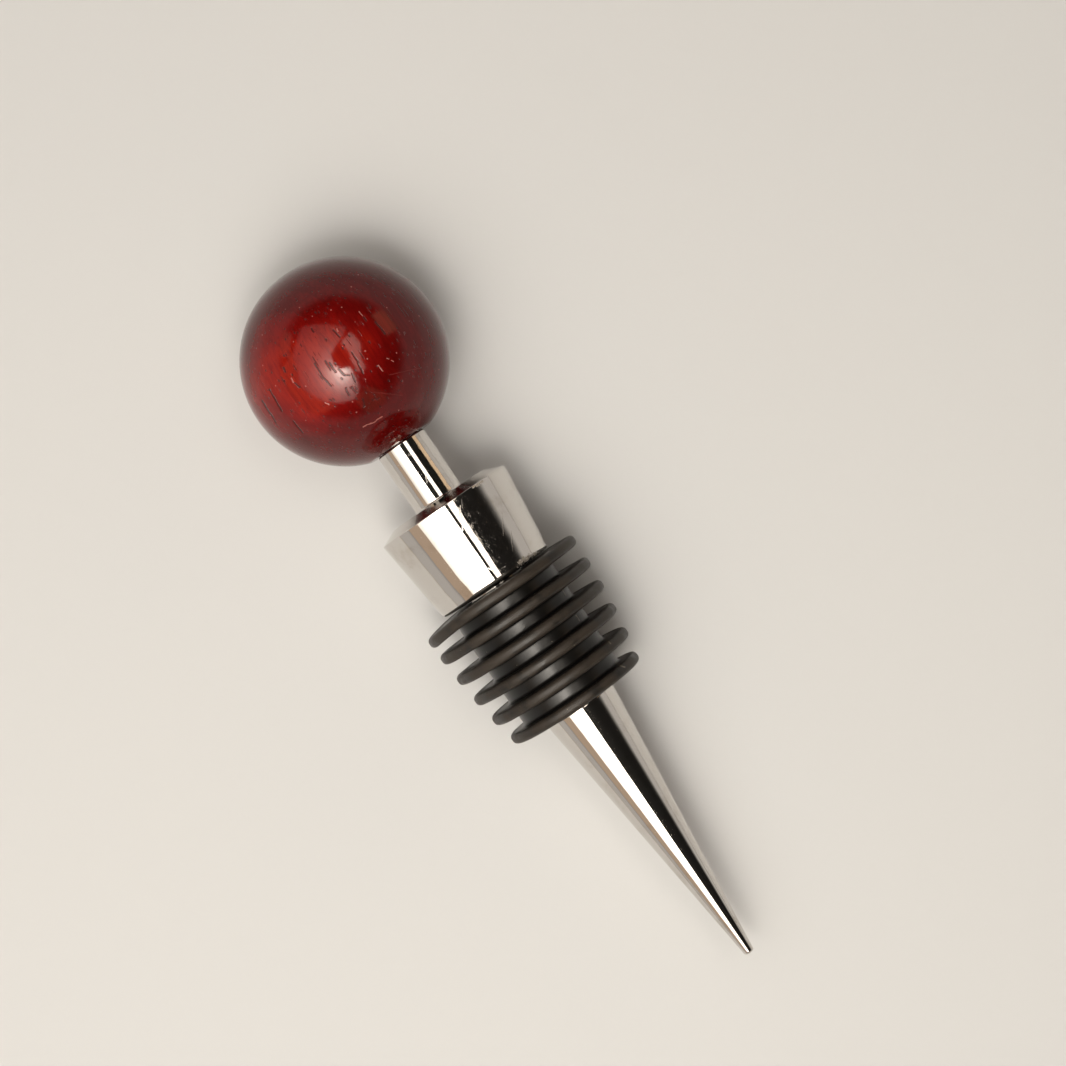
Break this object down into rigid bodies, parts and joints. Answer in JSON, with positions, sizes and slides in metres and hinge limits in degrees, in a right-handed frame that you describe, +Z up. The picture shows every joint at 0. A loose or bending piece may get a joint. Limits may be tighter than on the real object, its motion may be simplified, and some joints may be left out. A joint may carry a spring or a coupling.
{
  "type": "wine bottle stopper",
  "caption": "Wine bottle stopper with a round wooden knob, a chromed collar and long cone, and a ribbed rubber sleeve that seals the bottle's mouth.",
  "frame": {"origin": "on the surface that the stopper lies on, under the centre of its bounding box", "axes": "+X along the stopper, from the knob to the tip (the stopper's own axis falls about 3 degrees towards the tip), +Z up"},
  "size_m": [0.1094, 0.028, 0.0279],
  "materials": {
    "stained_wood": "red stained hardwood under gloss lacquer, open pores along the grain",
    "steel": "plain steel",
    "chrome": "polished chrome plating with fine handling scratches",
    "black_rubber": "satin black moulded rubber with a little dust"
  },
  "bodies": {
    "root": {"knob": "stained_wood", "stud": "steel", "body": "chrome", "seal": "black_rubber"}
  },
  "joints": []
}
